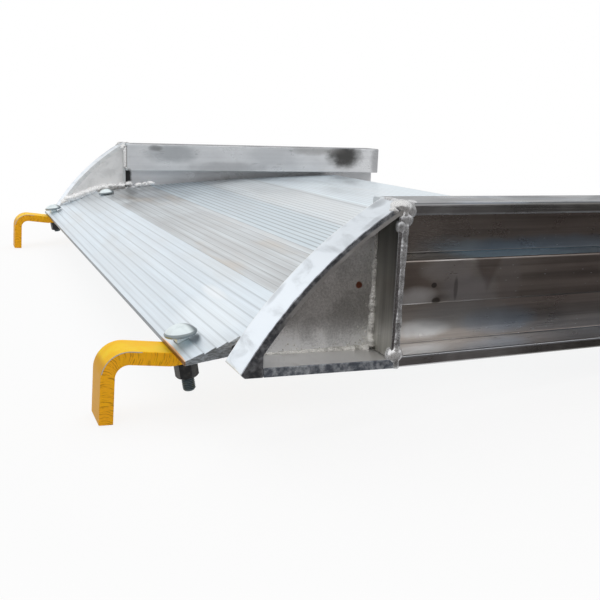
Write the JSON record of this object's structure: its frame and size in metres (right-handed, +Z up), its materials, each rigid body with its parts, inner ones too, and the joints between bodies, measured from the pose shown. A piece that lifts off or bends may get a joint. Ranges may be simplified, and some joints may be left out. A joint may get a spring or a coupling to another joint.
{
  "type": "walk ramp",
  "caption": "Short, wide aluminium walk ramp with a ribbed deck, channel side rails with curved tapered ends, and bolted yellow steel hooks.",
  "frame": {"origin": "on the ground under the middle of the ramp's bounding box", "axes": "+X runs down the walk from the hooks to the ground end, +Y across the walk to the left rail, +Z up; the ramp stands tilted as on level ground, on its hook tips and rail ends"},
  "size_m": [0.8392, 1.1878, 0.1898],
  "materials": {
    "mill_aluminium_rail": "mill finish extrusion, dulled and smudged grey-brown",
    "ground_aluminium_end": "ground and welded plate, rough and bright",
    "weld_bead": "bright weld metal, rippled, with spatter",
    "ribbed_aluminium_deck": "mill finish extrusion with saw-edged ribs",
    "yellow_paint": "gloss safety yellow over a flame-cut edge, chipped at the bends",
    "zinc_plate": "bright zinc plate",
    "black_oxide": "black oxide"
  },
  "bodies": {
    "root": {"right_side_rail": "mill_aluminium_rail", "left_side_rail": "mill_aluminium_rail", "right_end_cap": "ground_aluminium_end", "right_end_foot": "ground_aluminium_end", "right_end_upright": "ground_aluminium_end", "right_end_web": "ground_aluminium_end", "left_end_cap": "ground_aluminium_end", "left_end_foot": "ground_aluminium_end", "left_end_upright": "ground_aluminium_end", "left_end_web": "ground_aluminium_end", "right_end_weld": "weld_bead", "left_end_weld": "weld_bead", "nose_plank": "ribbed_aluminium_deck", "deck_plank_1": "ribbed_aluminium_deck", "deck_plank_2": "ribbed_aluminium_deck", "deck_plank_3": "ribbed_aluminium_deck", "deck_plank_4": "ribbed_aluminium_deck", "deck_plank_5": "ribbed_aluminium_deck", "ground_plank": "ribbed_aluminium_deck", "right_hook": "yellow_paint", "left_hook": "yellow_paint", "right_hook_front_bolt": "zinc_plate", "right_hook_rear_bolt": "zinc_plate", "left_hook_front_bolt": "zinc_plate", "left_hook_rear_bolt": "zinc_plate", "right_hook_front_nut": "black_oxide", "right_hook_rear_nut": "black_oxide", "left_hook_front_nut": "black_oxide", "left_hook_rear_nut": "black_oxide"}
  },
  "joints": []
}
